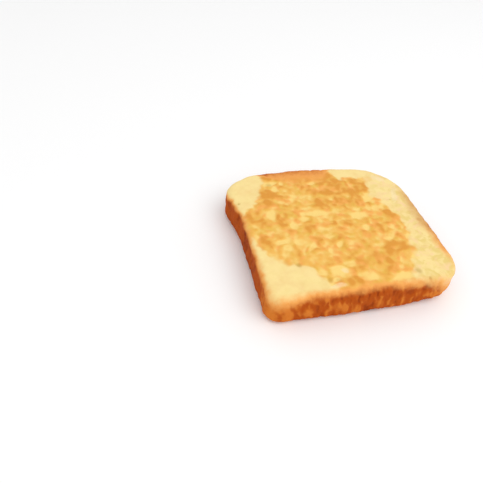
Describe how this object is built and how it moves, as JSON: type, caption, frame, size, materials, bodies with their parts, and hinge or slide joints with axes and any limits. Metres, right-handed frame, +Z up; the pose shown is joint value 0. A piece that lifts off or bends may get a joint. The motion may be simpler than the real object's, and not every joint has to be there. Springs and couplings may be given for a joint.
{
  "type": "french toast",
  "caption": "Slice of french toast, laid flat: thick sandwich bread soaked in egg, with a browned and pitted fried face, pale rounded corners, a crown that flares to one side and a dark folded crust.",
  "frame": {"origin": "bottom centre of the slice's bounding box, on the surface that it lies on", "axes": "+X along the front edge to the right, +Y to the back, where the loaf's crown flares on the left and has its larger rounded corner on the right, +Z up through the slice's thickness"},
  "size_m": [0.1098, 0.1024, 0.0194],
  "materials": {
    "fried_bread": "matt, with a faint sheen from the egg and the frying fat"
  },
  "bodies": {
    "root": {"toast_slice": "fried_bread"}
  },
  "joints": []
}
